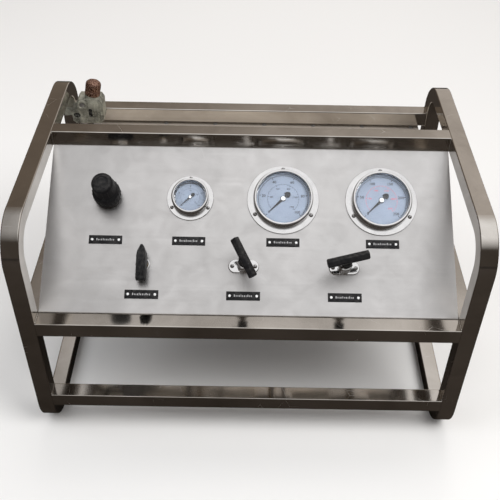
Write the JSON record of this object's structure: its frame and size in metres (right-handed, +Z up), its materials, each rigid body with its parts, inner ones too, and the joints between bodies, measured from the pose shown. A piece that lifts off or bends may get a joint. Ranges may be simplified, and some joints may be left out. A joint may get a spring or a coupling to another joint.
{
  "type": "hydraulic pressure test unit",
  "caption": "Air-driven hydraulic test unit: square-tube frame, sloping steel control panel with gauges, valves and regulator, tank and pump behind.",
  "frame": {"origin": "on the floor, at the centre of the frame box", "axes": "+X to the right as the operator faces the panel, +Y to the rear, +Z up"},
  "size_m": [0.8, 0.54, 0.5],
  "materials": {
    "polished_tube": "polished stainless square tube",
    "brushed_sheet": "brushed stainless sheet",
    "bright_steel": "bright stainless pressings",
    "machined_steel": "machined stainless",
    "black_plastic": "satin black plastic",
    "needle_black": "black paint",
    "clear_lens": "clear",
    "dial_face": "bluish white paint",
    "brass": "machined brass",
    "bronze": "sintered bronze",
    "cast_body": "galvanised grey-green casting",
    "pump_alloy": "machined aluminium"
  },
  "bodies": {
    "frame": {"air_cylinder": "pump_alloy", "air_tubing": "machined_steel", "base_plate": "brushed_sheet", "base_rails": "polished_tube", "check_valves": "machined_steel", "control_panel": "brushed_sheet", "distribution_blocks": "machined_steel", "exhaust_silencer": "bronze", "front_bottom_rail": "polished_tube", "front_mid_rail": "polished_tube", "front_top_rail": "polished_tube", "gauge_bezels": "bright_steel", "gauge_cases": "bright_steel", "gauge_dials": "dial_face", "gauge_lenses": "clear_lens", "gauge_movements": "brass", "gauge_screws": "machined_steel", "hydraulic_body": "machined_steel", "inlet_manifold": "cast_body", "left_mid_rail": "polished_tube", "legend_plates": "black_plastic", "legend_rivets": "machined_steel", "needle_valve_bodies": "machined_steel", "outlet_bulkhead": "machined_steel", "panel_nuts": "black_plastic", "port_plate": "brushed_sheet", "pressure_tubing": "machined_steel", "pump_air_head": "pump_alloy", "pump_lower_flange": "pump_alloy", "rear_bottom_rail": "polished_tube", "rear_top_rail": "polished_tube", "regulator_body": "pump_alloy", "right_mid_rail": "polished_tube", "side_loop_left": "polished_tube", "side_loop_right": "polished_tube", "spool_plugs": "machined_steel", "suction_tube": "machined_steel", "switch_valve_body": "brass", "tank_lid": "brushed_sheet", "tank_shell": "brushed_sheet", "tank_supports": "brushed_sheet", "tie_rods": "machined_steel", "tube_nuts": "machined_steel", "valve_gland_nuts": "bright_steel", "valve_plate_screws": "machined_steel", "valve_plates": "bright_steel"},
    "regulator_control": {"regulator_knob": "black_plastic", "regulator_spindle": "machined_steel"},
    "drive_switch": {"switch_handle": "black_plastic", "switch_ball_stem": "machined_steel"},
    "unloading_control": {"unloading_handle": "black_plastic", "unloading_stem": "machined_steel"},
    "pressure_control": {"pressure_handle": "black_plastic", "pressure_stem": "machined_steel"},
    "air_needle": {"air_gauge_needle": "needle_black"},
    "low_needle": {"low_gauge_needle": "needle_black"},
    "high_needle": {"high_gauge_needle": "needle_black"},
    "pump_piston": {"air_piston": "pump_alloy"},
    "spool": {"pump_spool": "machined_steel"},
    "tank_cap": {"filler_cap": "black_plastic"}
  },
  "joints": [
    {"name": "regulator_turn", "type": "hinge", "parent": "frame", "child": "regulator_control", "pos_m": [-0.26, -0.05725, 0.41715], "axis": [0, -0.5331, 0.846], "range_deg": [-720, 720]},
    {"name": "drive_switch_turn", "type": "hinge", "parent": "frame", "child": "drive_switch", "pos_m": [-0.19, -0.16555, 0.34891], "axis": [0, -0.5331, 0.846], "range_deg": [0, 90]},
    {"name": "unloading_valve_turn", "type": "hinge", "parent": "frame", "child": "unloading_control", "pos_m": [-0.01, -0.16555, 0.34891], "axis": [0, -0.5331, 0.846], "range_deg": [0, 810]},
    {"name": "pressure_valve_turn", "type": "hinge", "parent": "frame", "child": "pressure_control", "pos_m": [0.17, -0.16555, 0.34891], "axis": [0, -0.5331, 0.846], "range_deg": [0, 810]},
    {"name": "air_gauge_needle_turn", "type": "hinge", "parent": "frame", "child": "air_needle", "pos_m": [-0.11, -0.05725, 0.41715], "axis": [0, -0.5331, 0.846], "range_deg": [-270, 0]},
    {"name": "low_gauge_needle_turn", "type": "hinge", "parent": "frame", "child": "low_needle", "pos_m": [0.06, -0.05725, 0.41715], "axis": [0, -0.5331, 0.846], "range_deg": [-270, 0]},
    {"name": "high_gauge_needle_turn", "type": "hinge", "parent": "frame", "child": "high_needle", "pos_m": [0.24, -0.05725, 0.41715], "axis": [0, -0.5331, 0.846], "range_deg": [-270, 0]},
    {"name": "pump_stroke", "type": "slide", "parent": "frame", "child": "pump_piston", "axis": [0, 0, 1], "range_m": [0, 0.06]},
    {"name": "spool_shift", "type": "slide", "parent": "frame", "child": "spool", "axis": [1, 0, 0], "range_m": [-0.008, 0.008]},
    {"name": "filler_cap_lift", "type": "slide", "parent": "frame", "child": "tank_cap", "axis": [0, 0, 1], "range_m": [0, 0.06]}
  ]
}
